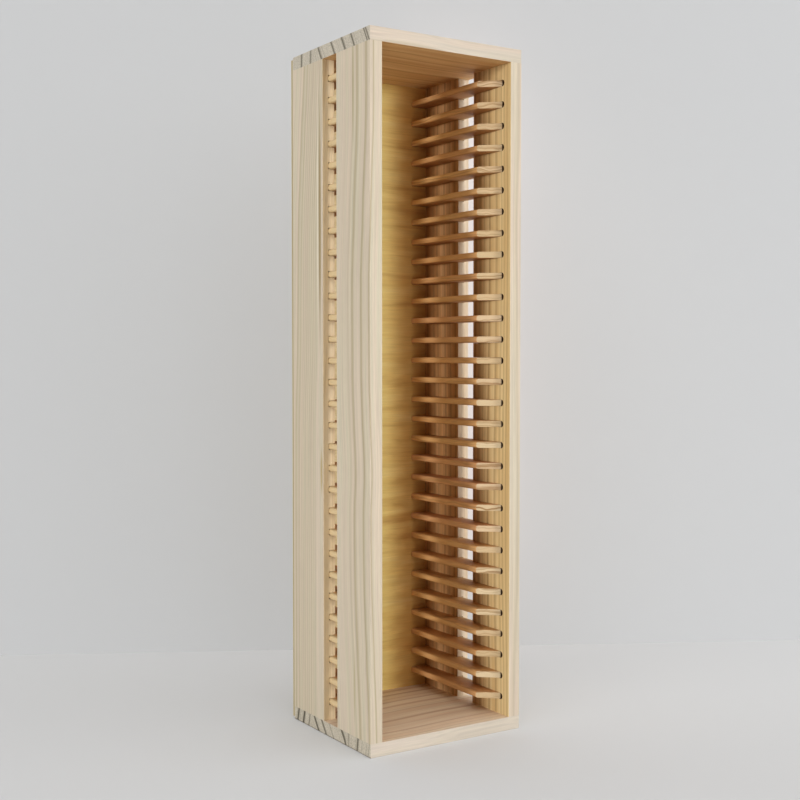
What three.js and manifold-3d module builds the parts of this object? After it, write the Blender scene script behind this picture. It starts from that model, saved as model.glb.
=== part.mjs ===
// Storage tower for discs: an open-fronted pine case whose two side walls carry rows of slats.
// Millimetres, +Z up. The origin is the middle of the footprint, on the floor. The open front
// faces -Y.
import * as THREE from "three";
import { mergeVertices } from "three/addons/utils/BufferGeometryUtils.js";
import Module from "manifold-3d";

// Case
const towerHeight = 610;
const clearWidth = 134;
const boardThickness = 12;
const uprightWidth = 56;
const sideGap = 24;
const boardArris = 0.5;

// Back panel, fixed behind the boards and a little smaller than they are
const backThickness = 4;
const backShortBy = 2;
const backSetIn = 0.5;

// Slats
const slatCount = 30;
const slatThickness = 5.5;
const slatProjection = 16.5;
const slatArris = 0.4;
const slatEndClearance = 0.3;
// How far behind the front face a slat's slanted nose leaves the wall, and how much further back
// it reaches the free edge.
const noseFromFront = 14;
const noseRun = 14;

// Grooves that hold the slats
const grooveDepth = 6.5;
const grooveFromFront = 9.5;
const grooveClearance = 0.15;

// The outermost slats of each side are one solid with the rear upright that holds them: this many
// at the top, and as many at the bottom.
const joinedAtEachEnd = 2;

// Mesh fineness, and how far a cutter runs past the face that it cuts
const arrisSegments = 1;
const grooveSegments = 5;
const weldDistance = 0.001;
const cutOverrun = 2;

const outerWidth = clearWidth + 2 * boardThickness;
const boardDepth = 2 * uprightWidth + sideGap;
const frontY = -(boardDepth + backThickness) / 2;
const backY = frontY + boardDepth;
const rearUprightY = frontY + uprightWidth + sideGap;
const wallX = clearWidth / 2;
const uprightHeight = towerHeight - 2 * boardThickness;
const slotHeight = (uprightHeight - slatCount * slatThickness) / (slatCount + 1);
const grooveRadius = slatThickness / 2 + grooveClearance;
const grooveRoundY = frontY + grooveFromFront + grooveRadius;

const pineBoard = { color: 0xd9c7a2, roughness: 0.6, metalness: 0 };
const pineSlat = { color: 0xcfae7c, roughness: 0.65, metalness: 0 };
const backPlywood = { color: 0xc4a062, roughness: 0.7, metalness: 0 };

const wasm = await Module();
wasm.setup();

// A closed geometry as a solid that can be joined and cut.
function solidOf(geometry) {
  const bare = geometry.clone();
  bare.deleteAttribute("normal");
  bare.deleteAttribute("uv");
  const welded = mergeVertices(bare, weldDistance);
  const mesh = new wasm.Mesh({
    numProp: 3,
    vertProperties: welded.attributes.position.array,
    triVerts: new Uint32Array(welded.index.array),
  });
  return new wasm.Manifold(mesh);
}

// A solid's surface as a geometry with flat faces.
function geometryOf(solid) {
  const mesh = solid.getMesh();
  const shared = new THREE.BufferGeometry();
  shared.setAttribute("position", new THREE.BufferAttribute(mesh.vertProperties, 3));
  shared.setIndex(new THREE.BufferAttribute(mesh.triVerts, 1));
  const flat = shared.toNonIndexed();
  flat.computeVertexNormals();
  return flat;
}

// Turns a geometry extruded along Z so that its outline lies in the YZ plane and it runs along X.
function layAlongX(geometry) {
  const turn = new THREE.Matrix4().makeBasis(
    new THREE.Vector3(0, 1, 0),
    new THREE.Vector3(0, 0, 1),
    new THREE.Vector3(1, 0, 0),
  );
  return geometry.applyMatrix4(turn);
}

// A board cut to length from planed stock. Its two near long edges are eased. The two far ones are
// eased too, unless they stay square to meet other boards.
function board(width, depth, length, farEdgesSquare) {
  const quarter = Math.PI / 2;
  const r = boardArris;
  const section = new THREE.Shape();
  section.absarc(r, r, r, 2 * quarter, 3 * quarter);
  section.absarc(width - r, r, r, 3 * quarter, 4 * quarter);
  if (farEdgesSquare) {
    section.lineTo(width, depth);
    section.lineTo(0, depth);
  } else {
    section.absarc(width - r, depth - r, r, 0, quarter);
    section.absarc(r, depth - r, r, quarter, 2 * quarter);
  }
  return new THREE.ExtrudeGeometry(section, {
    depth: length,
    bevelEnabled: false,
    curveSegments: arrisSegments,
  });
}

// The board under the uprights, its grain from side to side. The one over them is its mirror image.
function endBoard() {
  const geometry = layAlongX(board(boardDepth, boardThickness, outerWidth, true));
  return geometry.translate(-outerWidth / 2, frontY, 0);
}

// The thin back covers the case from behind.
function backPanel() {
  const width = outerWidth - 2 * backSetIn;
  const height = towerHeight - 2 * backShortBy;
  const geometry = new THREE.BoxGeometry(width, backThickness, height);
  return geometry.translate(0, backY + backThickness / 2, towerHeight / 2);
}

// Slat 0 is the lowest, and every clear space between the slats has the same height.
function slatFootZ(index) {
  return boardThickness + slotHeight + index * (slotHeight + slatThickness);
}

// What the cutter takes out of the right wall for a slat: a groove with a round front end.
function groove(index) {
  const quarter = Math.PI / 2;
  const middleZ = slatFootZ(index) + slatThickness / 2;
  const outline = new THREE.Shape();
  outline.absarc(grooveRoundY, middleZ, grooveRadius, quarter, 3 * quarter);
  outline.lineTo(backY + cutOverrun, middleZ - grooveRadius);
  outline.lineTo(backY + cutOverrun, middleZ + grooveRadius);
  const geometry = new THREE.ExtrudeGeometry(outline, {
    depth: grooveDepth + cutOverrun,
    bevelEnabled: false,
    curveSegments: grooveSegments,
  });
  return layAlongX(geometry).translate(wallX - cutOverrun, 0, 0);
}

// A slat of the right wall. From above, its nose slants back from inside the groove to the free
// edge. In the groove it ends blunt, where the groove's round end begins.
function slat(index) {
  const freeX = wallX - slatProjection;
  const seatX = wallX + grooveDepth;
  const endY = backY - slatEndClearance;
  const wallY = frontY + noseFromFront;
  const bluntX = wallX + (wallY - grooveRoundY) * (slatProjection / noseRun);
  const outline = new THREE.Shape([
    new THREE.Vector2(seatX, grooveRoundY),
    new THREE.Vector2(seatX, endY),
    new THREE.Vector2(freeX, endY),
    new THREE.Vector2(freeX, wallY + noseRun),
    new THREE.Vector2(bluntX, grooveRoundY),
  ]);
  const geometry = new THREE.ExtrudeGeometry(outline, {
    depth: slatThickness - 2 * slatArris,
    bevelThickness: slatArris,
    bevelSize: slatArris,
    bevelOffset: -slatArris,
    bevelSegments: 1,
  });
  return geometry.translate(0, 0, slatFootZ(index) + slatArris);
}

function isJoined(index) {
  return index < joinedAtEachEnd || index >= slatCount - joinedAtEachEnd;
}

// An upright of the right wall, standing on the bottom board, before its grooves are cut.
function upright(startY) {
  const geometry = board(boardThickness, uprightWidth, uprightHeight, false);
  return solidOf(geometry.translate(wallX, startY, boardThickness));
}

// The front upright has a stopped groove for every slat.
function frontUpright() {
  let solid = upright(frontY);
  for (let index = 0; index < slatCount; index += 1) {
    solid = solid.subtract(solidOf(groove(index)));
  }
  return geometryOf(solid);
}

// The grooves run out through the rear upright, which holds the joined slats as one solid.
function rearUpright() {
  let solid = upright(rearUprightY);
  for (let index = 0; index < slatCount; index += 1) {
    if (isJoined(index)) {
      solid = solid.add(solidOf(slat(index)));
    } else {
      solid = solid.subtract(solidOf(groove(index)));
    }
  }
  return geometryOf(solid);
}

function piece(name, geometry, finish) {
  const mesh = new THREE.Mesh(geometry, new THREE.MeshStandardMaterial(finish));
  mesh.name = name;
  return mesh;
}

// One side wall: two uprights with a gap between them, tied together by the slats.
function sideWall(side) {
  const wall = new THREE.Group();
  wall.add(piece(side + "_front_upright", frontUpright(), pineBoard));
  wall.add(piece(side + "_rear_upright", rearUpright(), pineBoard));
  for (let index = 0; index < slatCount; index += 1) {
    if (!isJoined(index)) {
      const name = side + "_slat_" + String(index + 1).padStart(2, "0");
      wall.add(piece(name, slat(index), pineSlat));
    }
  }
  return wall;
}

const bottomBoard = piece("bottom_board", endBoard(), pineBoard);

const topBoard = piece("top_board", endBoard(), pineBoard);
topBoard.position.z = towerHeight;
topBoard.scale.z = -1;

const back = piece("back_panel", backPanel(), backPlywood);

const rightWall = sideWall("right");

const leftWall = sideWall("left");
leftWall.scale.x = -1;

const tower = new THREE.Group();
tower.add(bottomBoard, topBoard, back, rightWall, leftWall);

export default tower;
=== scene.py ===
import math
import random

import bpy
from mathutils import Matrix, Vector


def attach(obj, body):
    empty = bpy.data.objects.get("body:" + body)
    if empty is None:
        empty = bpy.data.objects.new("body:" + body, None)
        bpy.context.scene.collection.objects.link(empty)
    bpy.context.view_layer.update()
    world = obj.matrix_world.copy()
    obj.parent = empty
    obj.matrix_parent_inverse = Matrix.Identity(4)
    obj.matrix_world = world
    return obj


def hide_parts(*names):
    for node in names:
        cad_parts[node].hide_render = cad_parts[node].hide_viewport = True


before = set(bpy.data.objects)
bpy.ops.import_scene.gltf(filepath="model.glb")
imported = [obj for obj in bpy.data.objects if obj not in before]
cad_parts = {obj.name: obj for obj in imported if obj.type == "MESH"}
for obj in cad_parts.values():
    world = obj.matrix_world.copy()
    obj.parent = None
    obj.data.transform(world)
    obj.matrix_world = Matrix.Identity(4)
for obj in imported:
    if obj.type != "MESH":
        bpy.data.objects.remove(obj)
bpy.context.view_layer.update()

# The bottom and top boards: solid pine, planed to 12 mm and sawn to length, with the grain running
# from side to side. The uprights are glued between them. Their sawn ends show at the sides, where
# the growth rings cross as dark slanted lines. The outer edges are sanded round.
tower_height = 0.610
clear_width = 0.134
board_thickness = 0.012
upright_width = 0.056
side_gap = 0.024
back_thickness = 0.004
board_depth = 2 * upright_width + side_gap
half_width = clear_width / 2 + board_thickness
front_y = -(board_depth + back_thickness) / 2
rear_y = front_y + board_depth

end_board_round = 0.0008
round_steps = 3
smooth_angle = math.radians(40)

# Two places nearer than this are one. The axes go by number.
touching = 1e-5
x_axis, y_axis, z_axis = range(3)


def plank(name, low, high):
    """A block between two corners, as sawn."""
    bpy.ops.object.select_all(action="DESELECT")
    middle = [(a + b) / 2 for a, b in zip(low, high)]
    size = [b - a for a, b in zip(low, high)]
    bpy.ops.mesh.primitive_cube_add(size=1, location=middle, scale=size)
    bpy.ops.object.transform_apply(location=True, rotation=True, scale=True)
    part = bpy.context.object
    part.name = name
    return part


def round_edges(part, radius, steps, wanted):
    """Rounds the edges whose two ends pass a test."""
    bpy.ops.object.mode_set(mode="EDIT")
    bpy.ops.mesh.select_mode(type="EDGE")
    bpy.ops.mesh.select_all(action="DESELECT")
    bpy.ops.object.mode_set(mode="OBJECT")
    points = part.data.vertices
    for edge in part.data.edges:
        edge.select = wanted(*(points[i].co for i in edge.vertices))
    bpy.ops.object.mode_set(mode="EDIT")
    bpy.ops.mesh.bevel(offset=radius, offset_pct=0, segments=steps, profile=0.5, affect="EDGES")
    bpy.ops.object.mode_set(mode="OBJECT")


def smooth(part):
    """Shades rounded edges smooth, and keeps flat faces flat."""
    bpy.ops.object.select_all(action="DESELECT")
    part.select_set(True)
    bpy.context.view_layer.objects.active = part
    bpy.ops.object.shade_smooth_by_angle(angle=smooth_angle)
    even = part.modifiers.new("even", "WEIGHTED_NORMAL")
    even.keep_sharp = True
    bpy.ops.object.modifier_apply(modifier=even.name)


def dress(part, material, slot_name, *nodes):
    """Gives a finished piece its wood, and ties it to the frame."""
    part.data.materials.clear()
    part.data.materials.append(material)
    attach(part, "root")
    if nodes:
        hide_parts(*nodes)


def linear(code):
    """An sRGB hex colour as linear light."""
    parts = [int(code[i:i + 2], 16) / 255 for i in (1, 3, 5)]
    return [c / 12.92 if c <= 0.04045 else ((c + 0.055) / 1.055) ** 2.4 for c in parts] + [1]


def grey(value):
    """A share from 0 to 1, as a colour that a ramp can hold."""
    return (value, value, value, 1)


def blank(name):
    """A material that has no nodes yet."""
    material = bpy.data.materials.new(name)
    material.use_nodes = True
    material.node_tree.nodes.clear()
    return material


def add(tree, kind, sockets, stops=(), **settings):
    """Adds a node with its settings. Each socket gets a value or a link, and a ramp its stops.

    Sockets go by name, or by number where names repeat: a colour mix takes its share at 0 and its
    two colours at 6 and 7, and gives the mixed colour at 2.
    """
    node = tree.nodes.new("ShaderNode" + kind)
    for name, value in settings.items():
        setattr(node, name, value)
    for name, value in sockets.items():
        if isinstance(value, bpy.types.NodeSocket):
            tree.links.new(value, node.inputs[name])
        else:
            node.inputs[name].default_value = value
    for i, (place, colour) in enumerate(stops):
        stop = node.color_ramp.elements[i] if i < 2 else node.color_ramp.elements.new(place)
        stop.position = place
        stop.color = colour
    return node


def late_wood(lines):
    """Ramp stops, from front edge to rear, for growth lines that end faster than they build up."""
    fall = 0.7
    stops = [(0, grey(0))]
    for place, width, strength in sorted(lines):
        middle = place / board_depth
        rise = width / board_depth
        stops += [(middle - rise, grey(0)), (middle, grey(strength)), (middle + fall * rise, grey(0))]
    return stops


def lined(tree, pattern, late, tones):
    """Wood of a dark and a pale tone, mixed by a pattern, with its growth lines in a third."""
    dark, pale, line = tones
    wood = add(tree, "ValToRGB", {"Fac": pattern}, stops=[(0.35, linear(dark)), (0.65, linear(pale))])
    return add(tree, "Mix", {0: late, 6: wood.outputs["Color"], 7: linear(line)},
               data_type="RGBA").outputs[2]


def bare_wood(tree, colour, fibre, darkest, palest, relief, roughness):
    """A surface bare of finish, whose fibres change its tone a little and leave a faint relief."""
    rib_height = 0.00015
    shade = add(tree, "MapRange", {"Value": fibre.outputs["Fac"], "From Min": 0.3, "From Max": 0.7,
                                   "To Min": darkest, "To Max": palest})
    shaded = add(tree, "VectorMath", {0: colour, "Scale": shade.outputs["Result"]}, operation="SCALE")
    ribs = add(tree, "Bump", {"Strength": relief, "Distance": rib_height,
                              "Height": fibre.outputs["Fac"]})
    wood = add(tree, "BsdfPrincipled", {"Base Color": shaded.outputs[0], "Roughness": roughness,
                                        "Normal": ribs.outputs["Normal"]})
    add(tree, "OutputMaterial", {"Surface": wood.outputs[0]})


def pine(name, fibres, across, through, level, seed, lines, leans, bends, shade_tinted_faces, tones, marks=()):
    """Solid pine (pinus), planed and sanded, bare of finish.

    The fibres run along one axis. The rings are counted across the width, at one level of the
    thickness, and lean as they go through it. Early wood is pale, and each ring ends in a darker
    line of late wood.

    Faces inside the tower and in its side gaps get tones of their own: honey coloured painted shade, or
    a paler painted light in a brightly lit gap, with a deeper painted shade behind the front edge where
    one is given. Each is told by its axis, the way that it faces along it, and the name of its tones.
    Sawn ends are greyer and speckled, with the rings dark, and those of a board that stands on the floor
    get a painted contact shadow along their lowest edge.
    """
    material = blank(name)
    tree = material.node_tree
    place = add(tree, "TexCoord", {})
    at = add(tree, "SeparateXYZ", {"Vector": place.outputs["Object"]}).outputs
    looks = add(tree, "SeparateXYZ", {"Vector": place.outputs["Normal"]}).outputs
    depth = add(tree, "Math", {0: at[through], 1: level}, operation="SUBTRACT").outputs[0]
    flat = add(tree, "CombineXYZ", {0: at[across], 1: depth, 2: at[fibres]}).outputs[0]

    # The rings lean, by more at some distances from the front edge than at others. In the ramp,
    # middle grey is no lean.
    lean_span = 4.0
    width_share = add(tree, "MapRange", {"Value": at[across], "From Min": front_y, "From Max": rear_y})
    leaning = add(tree, "ValToRGB", {"Fac": width_share.outputs["Result"]},
                  stops=[(p / board_depth, grey(0.5 + lean / lean_span)) for p, lean in leans])
    slope = add(tree, "Math", {0: leaning.outputs["Color"], 1: lean_span, 2: -lean_span / 2},
                operation="MULTIPLY_ADD")
    leaned = add(tree, "Math", {0: depth, 1: slope.outputs[0], 2: at[across]}, operation="MULTIPLY_ADD")

    # They waver along the trunk by a millimetre or two over 170 mm.
    drift_at = add(tree, "Mapping", {"Vector": flat, "Location": (0, 0, seed), "Scale": (9, 9, 6)})
    drift = add(tree, "TexNoise", {"Vector": drift_at.outputs[0], "Scale": 1.0, "Detail": 3.0,
                                   "Roughness": 0.5})
    centred = add(tree, "Math", {0: drift.outputs["Fac"], 1: 0.5}, operation="SUBTRACT")
    drifted = add(tree, "Math", {0: centred.outputs[0], 1: tones["drift"], 2: leaned.outputs[0]},
                  operation="MULTIPLY_ADD")

    # And they bend in a smooth curve from end to end. In the ramp, middle grey is no shift.
    shift_span = 0.04
    start, end = bends[0][0], bends[-1][0]
    length_share = add(tree, "MapRange", {"Value": at[fibres], "From Min": start, "From Max": end})
    bending = add(tree, "ValToRGB", {"Fac": length_share.outputs["Result"]},
                  stops=[((p - start) / (end - start), grey(0.5 + shift / shift_span))
                         for p, shift in bends])
    bending.color_ramp.interpolation = "CARDINAL"
    bent = add(tree, "Math", {0: bending.outputs["Color"], 1: 0.5}, operation="SUBTRACT")
    count = add(tree, "Math", {0: bent.outputs[0], 1: shift_span, 2: drifted.outputs[0]},
                operation="MULTIPLY_ADD").outputs[0]
    grown = add(tree, "CombineXYZ", {0: count, 1: depth, 2: at[fibres]}).outputs[0]

    # The strong late-wood lines stand at their own distances from the front edge.
    along = add(tree, "MapRange", {"Value": count, "From Min": front_y, "From Max": rear_y})
    strong = add(tree, "ValToRGB", {"Fac": along.outputs["Result"]}, stops=late_wood(lines))

    # Between them the yearly rings come one every few millimetres, some strong and some weak. Each
    # darkens slowly and ends at once.
    uneven_at = add(tree, "Mapping", {"Vector": grown, "Location": (seed, 0, 0), "Scale": (150, 0, 2)})
    uneven = add(tree, "TexNoise", {"Vector": uneven_at.outputs[0], "Scale": 1.0, "Detail": 1.0})
    years = add(tree, "Math", {0: count, 1: 1 / tones["ring"], 2: uneven.outputs["Fac"]},
                operation="MULTIPLY_ADD").outputs[0]
    within = add(tree, "Math", {0: years}, operation="FRACT")
    year = add(tree, "Math", {0: years}, operation="FLOOR")
    vigour = add(tree, "TexWhiteNoise", {"W": year.outputs[0]}, noise_dimensions="1D")
    ring = add(tree, "ValToRGB", {"Fac": within.outputs[0]}, stops=[
        (0.0, grey(0)), (0.30, grey(0)), (0.80, grey(0.8)), (0.93, grey(1)), (1.0, grey(0))])
    yearly = add(tree, "Math", {0: ring.outputs["Color"], 1: vigour.outputs["Value"]},
                 operation="MULTIPLY").outputs[0]
    late = add(tree, "Math", {0: yearly, 1: tones["fine"], 2: strong.outputs["Color"]},
               operation="MULTIPLY_ADD", use_clamp=True).outputs[0]

    # Broad streaks of slightly different tone run with the fibres, 8 mm wide.
    broad_at = add(tree, "Mapping", {"Vector": grown, "Location": (0, 0, seed + 5),
                                     "Scale": (130, 60, 4)})
    broad = add(tree, "TexNoise", {"Vector": broad_at.outputs[0], "Scale": 1.0,
                                   "Detail": 2.0}).outputs["Fac"]
    body = add(tree, "ValToRGB", {"Fac": broad}, stops=[
        (p, linear(code)) for p, code in zip((0.32, 0.44, 0.56, 0.68), tones["sanded"])])
    colour = add(tree, "Mix", {0: late, 6: body.outputs["Color"], 7: linear(tones["sanded_late"])},
                 data_type="RGBA").outputs[2]

    # Resin streaks: long, narrow ovals along the fibres, 4 mm deep.
    resin_depth = 0.004
    for place_across, place_along, half_across, half_along, tint in marks:
        oval_at = add(tree, "Mapping", {"Vector": flat,
                                        "Location": (front_y + place_across, 0, place_along),
                                        "Scale": (half_across, resin_depth, half_along)},
                      vector_type="TEXTURE")
        oval = add(tree, "TexGradient", {"Vector": oval_at.outputs[0]}, gradient_type="SPHERICAL")
        resin = add(tree, "MapRange", {"Value": oval.outputs["Fac"], "From Min": 0.0, "From Max": 0.6})
        colour = add(tree, "Mix", {0: resin.outputs["Result"], 6: colour, 7: linear(tint)},
                     data_type="RGBA").outputs[2]

    # Faces inside the tower and in the side gaps, in tones of painted shade, or of painted light in a
    # brightly lit gap. The deeper painted shade comes in slowly behind the front edge.
    deepens_from = 0.030
    deepens_to = 0.052
    for axis, sign, key in shade_tinted_faces:
        painted_shade_tone = lined(tree, broad, late, tones[key])
        if key + "_deep" in tones:
            deeper_painted_shade = lined(tree, broad, late, tones[key + "_deep"])
            rearward = add(tree, "MapRange", {"Value": at[across], "From Min": front_y + deepens_from,
                                              "From Max": front_y + deepens_to})
            painted_shade_tone = add(tree, "Mix", {0: rearward.outputs["Result"], 6: painted_shade_tone, 7: deeper_painted_shade},
                           data_type="RGBA").outputs[2]
        facing = add(tree, "MapRange", {"Value": looks[axis], "From Min": 0.4 * sign,
                                        "From Max": 0.8 * sign})
        colour = add(tree, "Mix", {0: facing.outputs["Result"], 6: colour, 7: painted_shade_tone},
                     data_type="RGBA").outputs[2]

    # Sawn ends. Cut pores are too fine to show, so they are drawn as speckles 1 mm across.
    pores = add(tree, "TexNoise", {"Vector": flat, "Scale": 900.0, "Detail": 2.0})
    end_rings = add(tree, "Math", {0: yearly, 1: 0.3, 2: strong.outputs["Color"]},
                    operation="MULTIPLY_ADD", use_clamp=True)
    sawn = lined(tree, pores.outputs["Fac"], end_rings.outputs[0], tones["sawn"])
    # Painted contact shadow along the lowest edge of a board that stands on the floor.
    if "contact_shadow" in tones:
        shadow_colour, low, high = tones["contact_shadow"]
        contact_shade = add(tree, "MapRange", {"Value": at[z_axis], "From Min": high, "From Max": low,
                                      "To Max": 0.85})
        sawn = add(tree, "Mix", {0: contact_shade.outputs["Result"], 6: sawn, 7: linear(shadow_colour)},
                   data_type="RGBA").outputs[2]
    endwise = add(tree, "Math", {0: looks[fibres]}, operation="ABSOLUTE")
    faces_end = add(tree, "MapRange", {"Value": endwise.outputs[0], "From Min": 0.45, "From Max": 0.6})
    colour = add(tree, "Mix", {0: faces_end.outputs["Result"], 6: colour, 7: sawn},
                 data_type="RGBA").outputs[2]

    # Streaks 1.3 mm wide and 140 mm long. Single fibres are too fine to show, so they are drawn
    # 0.4 mm wide and 17 mm long.
    streak_at = add(tree, "Mapping", {"Vector": grown, "Location": (0, 0, seed), "Scale": (800, 400, 7)})
    streak = add(tree, "TexNoise", {"Vector": streak_at.outputs[0], "Scale": 1.0, "Detail": 1.0})
    streaks = add(tree, "MapRange", {"Value": streak.outputs["Fac"], "From Min": 0.3, "From Max": 0.7,
                                     "To Min": 0.92, "To Max": 1.06})
    streaked = add(tree, "VectorMath", {0: colour, "Scale": streaks.outputs["Result"]},
                   operation="SCALE").outputs[0]
    fibre_at = add(tree, "Mapping", {"Vector": flat, "Scale": (2400, 2400, 60)})
    fibre = add(tree, "TexNoise", {"Vector": fibre_at.outputs[0], "Scale": 1.0, "Detail": 2.0})
    bare_wood(tree, streaked, fibre, darkest=0.94, palest=1.04, relief=0.25, roughness=0.6)
    return material


# Each strong growth line has its distance from the front edge and the width over which it builds
# up, both in metres, and its strength. A lean says, for some distances from the front edge, how far
# the rings move to the front for each metre up. A bend says, for some places along the board, how
# far they shift to the front.
board_bends = [(-half_width, 0.0), (-0.03, 0.001), (0.02, -0.002), (half_width, -0.001)]
bottom_lines = [
    (0.0024, 0.0010, 0.5), (0.021, 0.0028, 0.9), (0.0363, 0.0018, 0.55), (0.0442, 0.0036, 1.0),
    (0.066, 0.0018, 0.55), (0.080, 0.0030, 0.85), (0.0936, 0.0036, 1.0), (0.1076, 0.0022, 0.7),
    (0.118, 0.0036, 1.0), (0.1292, 0.0036, 1.0)]
bottom_leans = [(0.0, 0.2), (0.036, 0.1), (0.044, -0.75), (0.098, -0.75), (0.106, 0.25), (0.136, 0.3)]
top_lines = [
    (0.0045, 0.0018, 1.0), (0.0078, 0.0015, 1.0), (0.0288, 0.0025, 1.0), (0.0442, 0.0026, 1.0),
    (0.0618, 0.0028, 1.0), (0.0846, 0.0028, 1.0), (0.101, 0.0028, 0.75), (0.118, 0.0034, 0.8)]
top_leans = [(0.0, -0.57), (0.088, -0.57), (0.099, 0.0), (0.136, 0.0)]

# The most that the rings waver and the usual width of a yearly ring, both in metres, and how strongly
# the yearly rings show. Sanded faces have four tones. Inner faces, whose tones are painted shade, and
# sawn ones have a dark tone, a pale tone and the colour of the lines. The painted contact shadow thins
# out 0.4 to 1.4 mm above the floor.
bottom_tones = {
    "drift": 0.006, "ring": 0.0036, "fine": 0.18,
    "sanded": ("#CEC2B1", "#D1C5B3", "#D3C5B6", "#D5C4B4"), "sanded_late": "#C9B89E",
    "inner": ("#E4CAAE", "#F1DFC6", "#CDAA8C"), "sawn": ("#B2A893", "#CEC4B2", "#443C28"),
    "contact_shadow": ("#5E5546", 0.0004, 0.0014)}
top_tones = {
    "drift": 0.006, "ring": 0.0036, "fine": 0.16,
    "sanded": ("#CBBFAB", "#CEC2AE", "#CFC2B0", "#D1C0AD"), "sanded_late": "#BFAF95",
    "inner": ("#D4A36A", "#E7C087", "#C28E58"), "sawn": ("#B2A895", "#D0C7B6", "#544C39")}

bottom = plank("bottom_pine_board", (-half_width, front_y, 0), (half_width, rear_y, board_thickness))
round_edges(bottom, end_board_round, round_steps,
            lambda a, b: max(a.z, b.z) < touching or abs(a.z - b.z) > touching)
smooth(bottom)
bottom_pine = pine("bottom_pine", fibres=x_axis, across=y_axis, through=z_axis,
                   level=board_thickness / 2, seed=3.1, lines=bottom_lines, leans=bottom_leans,
                   bends=board_bends, shade_tinted_faces=[(z_axis, 1, "inner")], tones=bottom_tones)
dress(bottom, bottom_pine, "pine_board", "bottom_board")

top = plank("top_pine_board", (-half_width, front_y, tower_height - board_thickness),
            (half_width, rear_y, tower_height))
round_edges(top, end_board_round, round_steps,
            lambda a, b: min(a.z, b.z) > tower_height - touching or abs(a.z - b.z) > touching)
smooth(top)
top_pine = pine("top_pine", fibres=x_axis, across=y_axis, through=z_axis,
                level=tower_height - board_thickness / 2, seed=7.7, lines=top_lines, leans=top_leans,
                bends=board_bends, shade_tinted_faces=[(z_axis, -1, "inner")], tones=top_tones)
dress(top, top_pine, "pine_board", "top_board")

# The four uprights: pine boards ripped to 56 mm, their long edges sanded, glued between the end boards
# with the grain upright. A round-nosed cutter has run a groove for every slat: right across the rear
# upright, and stopping short of the front edge in the front one, where the inside of each groove is
# painted dark as shade.
upright_round = 0.0005
slat_count = 30
slat_thickness = 0.0055
slot_height = (tower_height - 2 * board_thickness - slat_count * slat_thickness) / (slat_count + 1)
slat_pitch = slot_height + slat_thickness
groove_depth = 0.0065
groove_from_front = 0.0095
groove_clearance = 0.00015
groove_steps = 12
overrun = 0.002


def slat_foot(index):
    """The height of a slat's underside, the lowest slat being 0."""
    return board_thickness + slot_height + index * slat_pitch


def corners(side, near_x, far_x, y0, y1, z0, z1):
    """The two corners of a block on one side of the tower, given as distances from its middle."""
    xs = sorted((side * near_x, side * far_x))
    return (xs[0], y0, z0), (xs[1], y1, z1)


def groove_cutter(side):
    """Thirty round-nosed bars, where the cutter runs.

    A nose keeps a hair of flat between its two rounds, so that they don't meet in doubled points.
    """
    radius = slat_thickness / 2 + groove_clearance
    nose_round = 0.999 * radius
    nose_y = front_y + groove_from_front
    low_z = slat_foot(0) - groove_clearance
    bar = plank("groove_cutter", *corners(side, clear_width / 2 - overrun,
                                          clear_width / 2 + groove_depth,
                                          nose_y, rear_y + overrun, low_z, low_z + 2 * radius))
    round_edges(bar, nose_round, groove_steps,
                lambda a, b: max(a.y, b.y) < nose_y + touching and abs(a.z - b.z) < touching)
    row = bar.modifiers.new("row", "ARRAY")
    row.count = slat_count
    row.use_relative_offset = False
    row.use_constant_offset = True
    row.constant_offset_displace = (0, 0, slat_pitch)
    bpy.ops.object.modifier_apply(modifier=row.name)
    return bar


def upright(name, side, start_y, cutter):
    """A board stood on end, its long edges rounded and its grooves cut."""
    part = plank(name, *corners(side, clear_width / 2, half_width, start_y, start_y + upright_width,
                                board_thickness, tower_height - board_thickness))
    round_edges(part, upright_round, round_steps, lambda a, b: abs(a.z - b.z) > touching)
    cut = part.modifiers.new("grooves", "BOOLEAN")
    cut.operation = "DIFFERENCE"
    cut.solver = "EXACT"
    cut.object = cutter
    bpy.ops.object.modifier_apply(modifier=cut.name)
    return part


def groove_shade_pine(name):
    """Pine (pinus) painted a dark, dull brown as the shade inside the grooves, so that they look deep.

    Its blotches are 1.4 mm across.
    """
    material = blank(name)
    tree = material.node_tree
    place = add(tree, "TexCoord", {})
    shade_blotch = add(tree, "TexNoise", {"Vector": place.outputs["Object"], "Scale": 700.0, "Detail": 2.0})
    colour = add(tree, "ValToRGB", {"Fac": shade_blotch.outputs["Fac"]}, stops=[
        (0.3, linear("#2E1D10")), (0.7, linear("#523620"))])
    wood = add(tree, "BsdfPrincipled", {"Base Color": colour.outputs["Color"], "Roughness": 0.8})
    add(tree, "OutputMaterial", {"Surface": wood.outputs[0]})
    return material


def paint_groove_shade(part, side, material):
    """Paints shade on the walls and the floor of each groove, told by their depth and the way they face.
    """
    part.data.materials.append(material)
    hardly = 0.01
    nearly_all = 0.995
    for face in part.data.polygons:
        sunk = side * face.center.x - clear_width / 2
        is_wall = abs(face.normal.x) < hardly and touching < sunk < groove_depth / 2 + touching
        is_floor = abs(face.normal.y) < nearly_all and abs(sunk - groove_depth) < touching
        if is_wall or is_floor:
            face.material_index = 1


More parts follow.
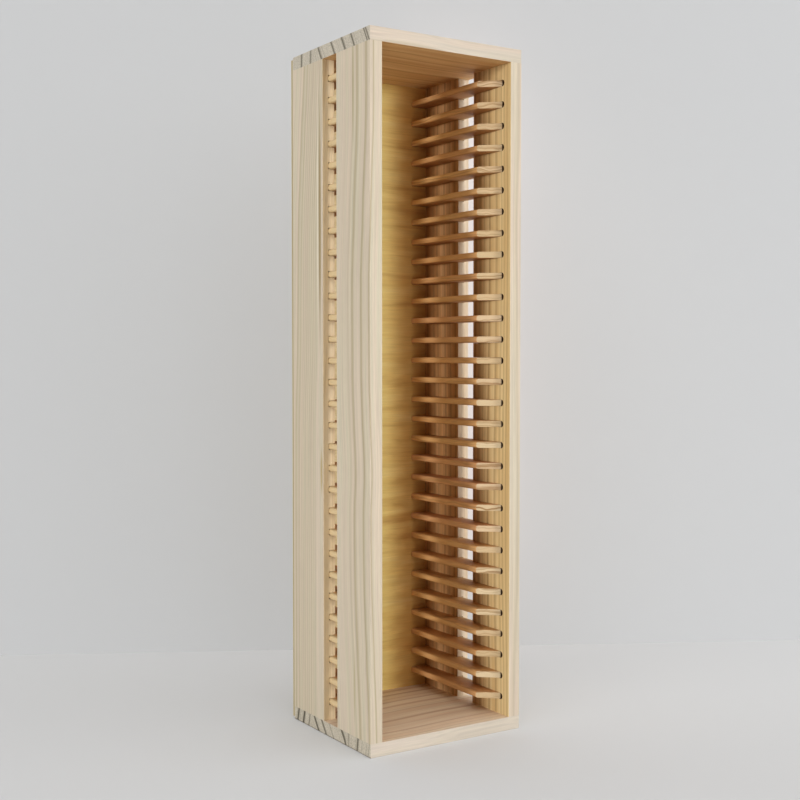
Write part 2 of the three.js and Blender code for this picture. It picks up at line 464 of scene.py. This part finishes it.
# The uprights share their tones, apart from those that one of them has of its own. Their growth
# lines are measured from the front of the tower too, and some start in front of their own board,
# because the rings lean and bend. Here a lean is for each metre to the right.
# The inner, inner_deep and gap tones are painted shade on the faces inside the tower and in the side
# gaps.
upright_tones = {
    "drift": 0.003, "ring": 0.0044,
    "sanded": ("#CAC0A7", "#CEC1A8", "#CEBEA8", "#D2C1AA"), "sanded_late": "#AC9C7B",
    "inner": ("#D7B880", "#E3CA95", "#94703E"), "inner_deep": ("#B88A56", "#CCA06E", "#74481F"),
    "gap": ("#D2B182", "#DDC092", "#A07A48"), "sawn": ("#B4AB96", "#C8BFAD", "#5E563E")}
# The rear uprights' faces in the side gaps are paler, as painted light through the gaps, brightest in
# the right gap. The right rear upright's deeper inner tone is painted shade towards the rear.
own_tones = {
    "left_front": {"fine": 0.14},
    "left_rear": {"fine": 0.20, "gap": ("#DEC598", "#E7D2AC", "#AC8A5E")},
    "right_front": {"fine": 0.20, "sanded": ("#D0C4AE", "#D4C6AF", "#D4C3AF", "#D8C6B1")},
    "right_rear": {"fine": 0.36, "inner_deep": ("#C8955E", "#D8AA76", "#7C5028"),
                   "gap": ("#EBD8BC", "#F3E4CE", "#D2B58E")}}
upright_lines = {
    "left_front": [
        (-0.022, 0.003, 0.35), (-0.0144, 0.003, 0.6), (-0.008, 0.002, 0.25), (0.0018, 0.0034, 0.85),
        (0.0148, 0.0036, 0.8), (0.0295, 0.004, 0.85), (0.037, 0.003, 0.3), (0.047, 0.002, 0.2)],
    "left_rear": [
        (0.095, 0.002, 0.4), (0.0988, 0.0022, 0.35), (0.1025, 0.0024, 0.5), (0.1062, 0.002, 0.45),
        (0.110, 0.002, 0.45), (0.1138, 0.0022, 0.5), (0.1172, 0.002, 0.45), (0.1208, 0.002, 0.45),
        (0.1255, 0.0026, 0.65), (0.1313, 0.0028, 0.75)],
    "right_front": [
        (0.0052, 0.0026, 0.45), (0.0095, 0.0026, 0.35), (0.0140, 0.0022, 0.25), (0.0214, 0.0030, 0.5),
        (0.0318, 0.0032, 0.7), (0.0400, 0.0022, 0.25), (0.0466, 0.0034, 0.5), (0.053, 0.0026, 0.55)],
    "right_rear": [
        (0.086, 0.0026, 0.35), (0.0945, 0.003, 0.4), (0.103, 0.003, 0.45), (0.114, 0.003, 0.35),
        (0.1215, 0.0026, 0.35), (0.132, 0.003, 0.5)],
}
upright_leans = {"left_front": -1.8, "left_rear": -0.8, "right_front": 0.6, "right_rear": 0.5}
upright_bends = {
    "left_front": [
        (0.012, 0.013), (0.065, 0.0097), (0.099, 0.0072), (0.134, 0.0048), (0.203, 0.0038),
        (0.237, 0.0055), (0.271, 0.0032), (0.305, 0.0008), (0.339, 0.0), (0.406, 0.0),
        (0.440, 0.0024), (0.474, 0.004), (0.507, 0.0062), (0.541, 0.0081), (0.598, 0.0082)],
    "left_rear": [
        (0.012, -0.0005), (0.168, -0.0005), (0.266, 0.0), (0.302, 0.0015), (0.339, 0.0035),
        (0.411, 0.005), (0.447, 0.006), (0.483, 0.008), (0.518, 0.011), (0.554, 0.014),
        (0.598, 0.018)],
    "right_front": [(0.012, 0.002), (0.2, -0.001), (0.4, 0.001), (0.598, 0.0)],
    "right_rear": [(0.012, -0.002), (0.25, 0.002), (0.45, -0.001), (0.598, 0.0)],
}

# Resin streaks: distance from the front, height, half width, half length and colour.
upright_marks = {
    "left_front": [(0.0275, 0.565, 0.0022, 0.06, "#B4A585"), (0.0262, 0.055, 0.002, 0.035, "#B8A988")],
    "left_rear": [(0.0892, 0.46, 0.0018, 0.15, "#DED3BC"), (0.0856, 0.457, 0.0030, 0.125, "#9C8860"),
                  (0.0835, 0.235, 0.0024, 0.025, "#B8A276")],
}

groove_shade = groove_shade_pine("groove_shade_pine")
for side_name, side in (("right", 1), ("left", -1)):
    cutter = groove_cutter(side)
    for place_name, start_y, open_way in (("front", front_y, 1),
                                          ("rear", front_y + upright_width + side_gap, -1)):
        name = side_name + "_" + place_name
        part = upright(name + "_pine_upright", side, start_y, cutter)
        smooth(part)

        # The rings are counted on each board's left face. No two boards come from one place in the
        # wood.
        left_face = clear_width / 2 if side > 0 else -half_width
        place_in_wood = 11.3 + 7 * side + start_y * 40
        lean = upright_leans[name]
        wood = pine(name + "_pine", fibres=z_axis, across=y_axis, through=x_axis, level=left_face,
                    seed=place_in_wood, lines=upright_lines[name],
                    leans=[(0.0, lean), (board_depth, lean)], bends=upright_bends[name],
                    shade_tinted_faces=[(x_axis, -side, "inner"), (y_axis, open_way, "gap")],
                    tones={**upright_tones, **own_tones[name]}, marks=upright_marks.get(name, ()))
        dress(part, wood, "pine_board", name + "_upright")
        if place_name == "front":
            paint_groove_shade(part, side, groove_shade)
    bpy.data.objects.remove(cutter)

# The slats: sixty strips of pine with rounded long edges, glued into the grooves from behind. From
# above, the nose of each slants back from inside its groove to the free edge, and is sawn across
# the fibres, so it is paler. The strips come from many boards, so no two have the same tone.
slat_projection = 0.0165
slat_seat = 0.0063
nose_from_front = 0.014
nose_run = 0.014
blunt_from_front = 0.0134
slat_end_clearance = 0.0003
free_round = 0.0017
seat_round = 0.0020
saw_round = 0.00015
random.seed(30)


def slat(side):
    """The lowest slat of one side."""
    free_x = side * (clear_width / 2 - slat_projection)
    seat_x = side * (clear_width / 2 + slat_seat)
    blunt_y = front_y + blunt_from_front
    end_y = rear_y - slat_end_clearance
    part = plank("slat", *corners(side, side * free_x, side * seat_x, blunt_y, end_y,
                                  slat_foot(0), slat_foot(0) + slat_thickness))
    for edge_x, radius in ((free_x, free_round), (seat_x, seat_round)):
        round_edges(part, radius, 2 * round_steps,
                    lambda a, b: max(abs(a.x - edge_x), abs(b.x - edge_x)) < touching
                    and abs(a.y - b.y) > touching)
    nose = Vector((side * clear_width / 2, front_y + nose_from_front, 0))
    outward = Vector((-side * nose_run, -slat_projection, 0)).normalized()
    bpy.ops.object.mode_set(mode="EDIT")
    bpy.ops.mesh.select_all(action="SELECT")
    bpy.ops.mesh.bisect(plane_co=nose, plane_no=outward, use_fill=True, clear_outer=True)
    bpy.ops.object.mode_set(mode="OBJECT")

    # The edges of its three sawn faces are eased. A point is this far off each of the saw cuts.
    off_cuts = (lambda p: abs((p - nose).dot(outward)), lambda p: abs(p.y - blunt_y),
                lambda p: abs(p.y - end_y))
    round_edges(part, saw_round, 1,
                lambda a, b: any(max(off(a), off(b)) < touching for off in off_cuts))
    smooth(part)
    return part


def slat_pine(name):
    """Pine strip (pinus), planed, honey coloured, its fibres running from front to rear.

    Each slat carries its own tone and its own place in the wood as an attribute. Its honey tone is
    partly painted shade for the inside of the tower. Its underside is browner, as painted shade, and its
    free edge paler, as painted light. It is paler still where it is sawn across, with the rings as brown
    ovals, and where it sits in a groove. Inside the groove its sawn ends are dark, as painted shade.
    """
    material = blank(name)
    tree = material.node_tree
    own = add(tree, "Attribute", {}, attribute_name="slat_tone").outputs["Fac"]
    place = add(tree, "TexCoord", {})
    at = add(tree, "SeparateXYZ", {"Vector": place.outputs["Object"]}).outputs
    looks = add(tree, "SeparateXYZ", {"Vector": place.outputs["Normal"]}).outputs
    piece = add(tree, "CombineXYZ", {0: at[x_axis], 1: at[y_axis], 2: own}).outputs[0]

    # Rings lie flat in the strip, 2 mm apart, and wander, so that the sawn nose cuts them into ovals.
    wander = 0.010
    bent_at = add(tree, "Mapping", {"Vector": piece, "Scale": (55, 20, 37)})
    bent = add(tree, "TexNoise", {"Vector": bent_at.outputs[0], "Scale": 1.0, "Detail": 2.0})
    count = add(tree, "Math", {0: bent.outputs["Fac"], 1: wander, 2: at[z_axis]},
                operation="MULTIPLY_ADD").outputs[0]
    grown = add(tree, "CombineXYZ", {0: count, 1: at[y_axis], 2: own}).outputs[0]
    ring_at = add(tree, "Mapping", {"Vector": grown, "Scale": (480, 3, 61)})
    rings = add(tree, "TexNoise", {"Vector": ring_at.outputs[0], "Scale": 1.0, "Detail": 3.0,
                                   "Roughness": 0.5})
    late = add(tree, "MapRange", {"Value": rings.outputs["Fac"], "From Min": 0.50, "From Max": 0.78})
    early = add(tree, "ValToRGB", {"Fac": own}, stops=[
        (0.0, linear("#CF955A")), (0.25, linear("#D9A86C")), (0.5, linear("#D39964")),
        (0.75, linear("#DDAE6E")), (1.0, linear("#D09668"))])
    body = add(tree, "Mix", {0: late.outputs["Result"], 6: early.outputs["Color"],
                             7: linear("#A4703E")}, data_type="RGBA")

    # The underside, in painted shade, the free edge, in painted light, and the part that sits in a
    # groove.
    clean_from = 0.0015
    clean_to = 0.0035
    underside_shade = add(tree, "MapRange", {"Value": looks[z_axis], "From Min": -0.35, "From Max": -0.85,
                                   "To Max": 0.55})
    body = add(tree, "Mix", {0: underside_shade.outputs["Result"], 6: body.outputs[2], 7: linear("#9A683A")},
               data_type="RGBA")
    # Painted light on the edges that face sideways.
    sideways = add(tree, "Math", {0: looks[x_axis]}, operation="ABSOLUTE")
    edge = add(tree, "MapRange", {"Value": sideways.outputs[0], "From Min": 0.4, "From Max": 0.9,
                                  "To Max": 0.25})
    body = add(tree, "Mix", {0: edge.outputs["Result"], 6: body.outputs[2], 7: linear("#EBC48E")},
               data_type="RGBA")
    from_middle = add(tree, "Math", {0: at[x_axis]}, operation="ABSOLUTE")
    seated = add(tree, "MapRange", {"Value": from_middle.outputs[0],
                                    "From Min": clear_width / 2 + clean_from,
                                    "From Max": clear_width / 2 + clean_to})
    body = add(tree, "Mix", {0: seated.outputs["Result"], 6: body.outputs[2], 7: linear("#DAC092")},
               data_type="RGBA")

    # The sawn nose and rear end, painted dark as shade inside the groove.
    groove_shade_from = 0.0004
    groove_shade_to = 0.0012
    cut_pale = add(tree, "ValToRGB", {"Fac": own}, stops=[
        (0.0, linear("#C8AC80")), (0.3, linear("#D8C29C")), (0.6, linear("#CBAF84")),
        (1.0, linear("#D4B892"))])
    oval = add(tree, "MapRange", {"Value": rings.outputs["Fac"], "From Min": 0.50, "From Max": 0.68})
    cut = add(tree, "Mix", {0: oval.outputs["Result"], 6: cut_pale.outputs["Color"],
                            7: linear("#987040")}, data_type="RGBA")
    groove_shade_mask = add(tree, "MapRange", {"Value": from_middle.outputs[0],
                                   "From Min": clear_width / 2 + groove_shade_from,
                                   "From Max": clear_width / 2 + groove_shade_to})
    cut = add(tree, "Mix", {0: groove_shade_mask.outputs["Result"], 6: cut.outputs[2], 7: linear("#4A301C")},
              data_type="RGBA")
    endwise = add(tree, "Math", {0: looks[y_axis]}, operation="ABSOLUTE")
    faces_end = add(tree, "MapRange", {"Value": endwise.outputs[0], "From Min": 0.35, "From Max": 0.6})
    colour = add(tree, "Mix", {0: faces_end.outputs["Result"], 6: body.outputs[2], 7: cut.outputs[2]},
                 data_type="RGBA").outputs[2]

    # Fibres, too fine to show, are drawn 0.4 mm wide and 17 mm long here too.
    fibre_at = add(tree, "Mapping", {"Vector": place.outputs["Object"], "Scale": (2400, 60, 2400)})
    fibre = add(tree, "TexNoise", {"Vector": fibre_at.outputs[0], "Scale": 1.0, "Detail": 2.0})
    bare_wood(tree, colour, fibre, darkest=0.92, palest=1.05, relief=0.25, roughness=0.6)
    return material


strip_pine = slat_pine("strip_pine")
for side_name, side in (("right", 1), ("left", -1)):
    first = slat(side)
    for index in range(slat_count):
        bpy.ops.object.select_all(action="DESELECT")
        first.select_set(True)
        bpy.context.view_layer.objects.active = first
        bpy.ops.object.duplicate()
        strip = bpy.context.object
        bpy.ops.transform.translate(value=(0, 0, index * slat_pitch))
        bpy.ops.object.transform_apply(location=True, rotation=True, scale=True)
        number = "%02d" % (index + 1)
        strip.name = side_name + "_pine_slat_" + number
        tone = strip.data.attributes.new("slat_tone", "FLOAT", "POINT")
        tone.data.foreach_set("value", [random.random()] * len(strip.data.vertices))
        node = side_name + "_slat_" + number
        dress(strip, strip_pine, "pine_slat", *([node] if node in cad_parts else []))
    bpy.data.objects.remove(first)

# The back: thin three-ply board with its face grain from side to side, a little smaller than the
# case, glued on behind it. Its plies show at the edges.
back_short_by = 0.002
back_set_in = 0.0005
back_round = 0.0002


def plywood(name):
    """Pine plywood (pinus), rotary cut: wide, soft figure on the faces and plies at the edges.

    Inside, the face is painted with shade: a deep honey tone at the right, where the right side shades
    it, turning to yellow and then to its own pale tone towards the left. The outer face is pale.
    """
    material = blank(name)
    tree = material.node_tree
    place = add(tree, "TexCoord", {})
    at = add(tree, "SeparateXYZ", {"Vector": place.outputs["Object"]}).outputs
    looks = add(tree, "SeparateXYZ", {"Vector": place.outputs["Normal"]}).outputs

    # The figure's waves are 110 mm long and 11 mm high.
    figure_at = add(tree, "Mapping", {"Vector": place.outputs["Object"], "Scale": (9.0, 1.0, 90.0)})
    figure = add(tree, "TexNoise", {"Vector": figure_at.outputs[0], "Scale": 1.0, "Detail": 5.0,
                                    "Roughness": 0.6, "Distortion": 0.6})
    deep_shade_tone, half_shade_tone, pale = (
        add(tree, "ValToRGB", {"Fac": figure.outputs["Fac"]}, stops=[
            (p, linear(code)) for p, code in zip((0.25, 0.45, 0.58, 0.75), codes)])
        for codes in (("#CA9048", "#E0AF5F", "#E6B96B", "#ECC27A"),
                      ("#CAA852", "#E0C569", "#E5CD74", "#EAD581"),
                      ("#C9B387", "#D9C69C", "#DFCDA6", "#E4D4B0")))

    # One tone turns into another between two places, in metres to the right of the middle: the painted
    # shade deepens to the right and gives way to the pale tone at the left.
    all_half_shade, all_deep_shade = 0.012, 0.045
    no_pale, all_pale = 0.018, -0.055
    rightward = add(tree, "MapRange", {"Value": at[x_axis], "From Min": all_half_shade,
                                       "From Max": all_deep_shade})
    face = add(tree, "Mix", {0: rightward.outputs["Result"], 6: half_shade_tone.outputs["Color"],
                             7: deep_shade_tone.outputs["Color"]}, data_type="RGBA")
    leftward = add(tree, "MapRange", {"Value": at[x_axis], "From Min": no_pale,
                                      "From Max": all_pale})
    outward = add(tree, "MapRange", {"Value": looks[y_axis], "From Min": 0.0, "From Max": 0.5})
    paling = add(tree, "Math", {0: leftward.outputs["Result"], 1: outward.outputs["Result"]},
                 operation="MAXIMUM")
    face = add(tree, "Mix", {0: paling.outputs[0], 6: face.outputs[2], 7: pale.outputs["Color"]},
               data_type="RGBA")

    # Two pale plies with a browner one between them.
    ply = add(tree, "MapRange", {"Value": at[y_axis], "From Min": rear_y,
                                 "From Max": rear_y + back_thickness})
    plies = add(tree, "ValToRGB", {"Fac": ply.outputs["Result"]}, stops=[
        (0.0, linear("#C9BC98")), (0.27, linear("#C9BC98")), (0.30, linear("#A08D68")),
        (0.70, linear("#A08D68")), (0.73, linear("#C9BC98"))])
    facewise = add(tree, "Math", {0: looks[y_axis]}, operation="ABSOLUTE")
    on_edge = add(tree, "MapRange", {"Value": facewise.outputs[0], "From Min": 0.6, "From Max": 0.4})
    colour = add(tree, "Mix", {0: on_edge.outputs["Result"], 6: face.outputs[2],
                               7: plies.outputs["Color"]}, data_type="RGBA").outputs[2]

    # Fibres, too fine to show, are drawn 0.5 mm wide and 20 mm long.
    fibre_at = add(tree, "Mapping", {"Vector": place.outputs["Object"], "Scale": (50.0, 1200.0, 1900.0)})
    fibre = add(tree, "TexNoise", {"Vector": fibre_at.outputs[0], "Scale": 1.0, "Detail": 2.0})
    bare_wood(tree, colour, fibre, darkest=0.92, palest=1.05, relief=0.2, roughness=0.55)
    return material


back = plank("back_plywood_sheet", (-half_width + back_set_in, rear_y, back_short_by),
             (half_width - back_set_in, rear_y + back_thickness, tower_height - back_short_by))
round_edges(back, back_round, round_steps, lambda a, b: min(a.y, b.y) > rear_y + touching)
dress(back, plywood("back_plywood_pine"), "back_plywood", "back_panel")

# The stage: a plain pale floor that runs past a plain pale wall, which stands behind the tower and
# is clear from behind, so that the tower can be looked at from there too.
wall_middle = (0.164, 0.241)
wall_turn = math.radians(-28.04)
wall_size = 5.0
floor_size = 16.0


def matt_paint(name, code, clear_behind):
    """Matt wall paint, rolled on: even and dull, with no gleam. It can be clear from behind."""
    material = blank(name)
    tree = material.node_tree
    paint = add(tree, "BsdfDiffuse", {"Color": linear(code)}).outputs[0]
    if clear_behind:
        behind = add(tree, "NewGeometry", {}).outputs["Backfacing"]
        clear = add(tree, "BsdfTransparent", {})
        paint = add(tree, "MixShader", {0: behind, 1: paint, 2: clear.outputs[0]}).outputs[0]
    add(tree, "OutputMaterial", {"Surface": paint})
    return material


bpy.ops.object.select_all(action="DESELECT")
bpy.ops.mesh.primitive_plane_add(size=floor_size, location=(0, 0, 0))
floor = bpy.context.object
floor.name = "floor"
floor.data.materials.append(matt_paint("floor_paint", "#D3D3D3", False))
bpy.ops.mesh.primitive_plane_add(size=wall_size, location=(*wall_middle, wall_size / 2),
                                 rotation=(math.pi / 2, 0, wall_turn))
wall = bpy.context.object
wall.name = "wall"
wall.data.materials.append(matt_paint("wall_paint", "#D2D3D4", True))

# The light: two low, narrow windows, two softer lamps and the glow of the floor light the tower, and
# flags keep them off the stage. The stage has two broad lamps, a soft one at the right, and the glow
# of the tower's own wood behind it. A dim even sky lights everything.
flags = {}
for name, state in (("tower_only", "EXCLUDE"), ("stage_only", "INCLUDE")):
    flags[name] = bpy.data.collections.new(name)
    flags[name].objects.link(floor)
    flags[name].objects.link(wall)
    for held in flags[name].collection_objects:
        held.light_linking.link_state = state


def aim(lamp, towards, lit):
    """Puts a lamp in the scene that shines one way, on the things in one collection."""
    light = bpy.data.objects.new(lamp.name, lamp)
    light.rotation_euler = Vector(towards).to_track_quat("-Z", "Y").to_euler()
    light.light_linking.receiver_collection = flags[lit]
    bpy.context.scene.collection.objects.link(light)
    return light


# Azimuth from the front towards the right, and elevation, in degrees. The spread is the angle that
# the lamp fills in the sky.
for name, azimuth, elevation, spread, strength, lit, casts in (
    ("floor_glow", 95, -25, 30, 1.0, "tower_only", True),
    ("window", 13.5, 2, 10, 1.33, "tower_only", True),
    ("left_window", -74, 3, 9, 1.54, "tower_only", True),
    ("right", 60, 20, 60, 0.69, "tower_only", True),
    ("top", 0, 80, 90, 1.69, "tower_only", True),
    ("backdrop", 0, 40, 120, 0.9, "stage_only", True),
    ("backdrop_fill", 0, 40, 120, 1.97, "stage_only", False),
):
    lamp = bpy.data.lights.new(name, "SUN")
    lamp.energy = strength
    lamp.angle = math.radians(spread)
    lamp.use_shadow = casts
    turn, rise = math.radians(azimuth), math.radians(elevation)
    source = Vector((math.sin(turn) * math.cos(rise), -math.cos(turn) * math.cos(rise), math.sin(rise)))
    sun = aim(lamp, -source, lit)

    # Neither the floor nor the wall blocks the glow that comes up from below.
    if elevation < 0:
        sun.light_linking.blocker_collection = flags[lit]

# Two panels of light, sized in metres, with their power in watts. One stands far to the right, and
# the other, behind the tower, faces the wall.
to_wall = (-math.sin(wall_turn), math.cos(wall_turn), 0)
for name, width, height, energy, colour, place, towards, casts in (
    ("side_glow", 1.5, 1.5, 3.6, (1.0, 1.0, 1.0), (1.5, -0.5, 0.9), (-0.5, 1.0, -0.1), False),
    ("wood_bounce", 0.04, 0.60, 0.13, (1.0, 0.74, 0.66), (0.17, 0.15, 0.365), to_wall, True),
):
    lamp = bpy.data.lights.new(name, "AREA")
    lamp.shape = "RECTANGLE"
    lamp.size = width
    lamp.size_y = height
    lamp.energy = energy
    lamp.color = colour
    lamp.use_shadow = casts
    panel = aim(lamp, towards, "stage_only")
    panel.location = place
    panel.visible_camera = False

sky = bpy.data.worlds.new("sky")
sky.use_nodes = True
sky.node_tree.nodes["Background"].inputs["Color"].default_value = (1, 1, 1, 1)
sky.node_tree.nodes["Background"].inputs["Strength"].default_value = 0.2
bpy.context.scene.world = sky

# The camera: in front of the tower and to its left, a little above the middle of its height. It
# looks slightly down.
camera_yaw = math.radians(-32.638)
camera_pitch = math.radians(-2.195)
lens = bpy.data.cameras.new("camera")
lens.sensor_width = 36.0
lens.lens = 55.644
lens.clip_start = 0.01
lens.clip_end = 50.0
camera = bpy.data.objects.new("camera", lens)
camera.location = (-0.61152, -0.947449, 0.340881)
camera.rotation_euler = (math.pi / 2 + camera_pitch, 0, camera_yaw)
bpy.context.scene.collection.objects.link(camera)
bpy.context.scene.camera = camera
bpy.context.scene.view_settings.view_transform = "Standard"
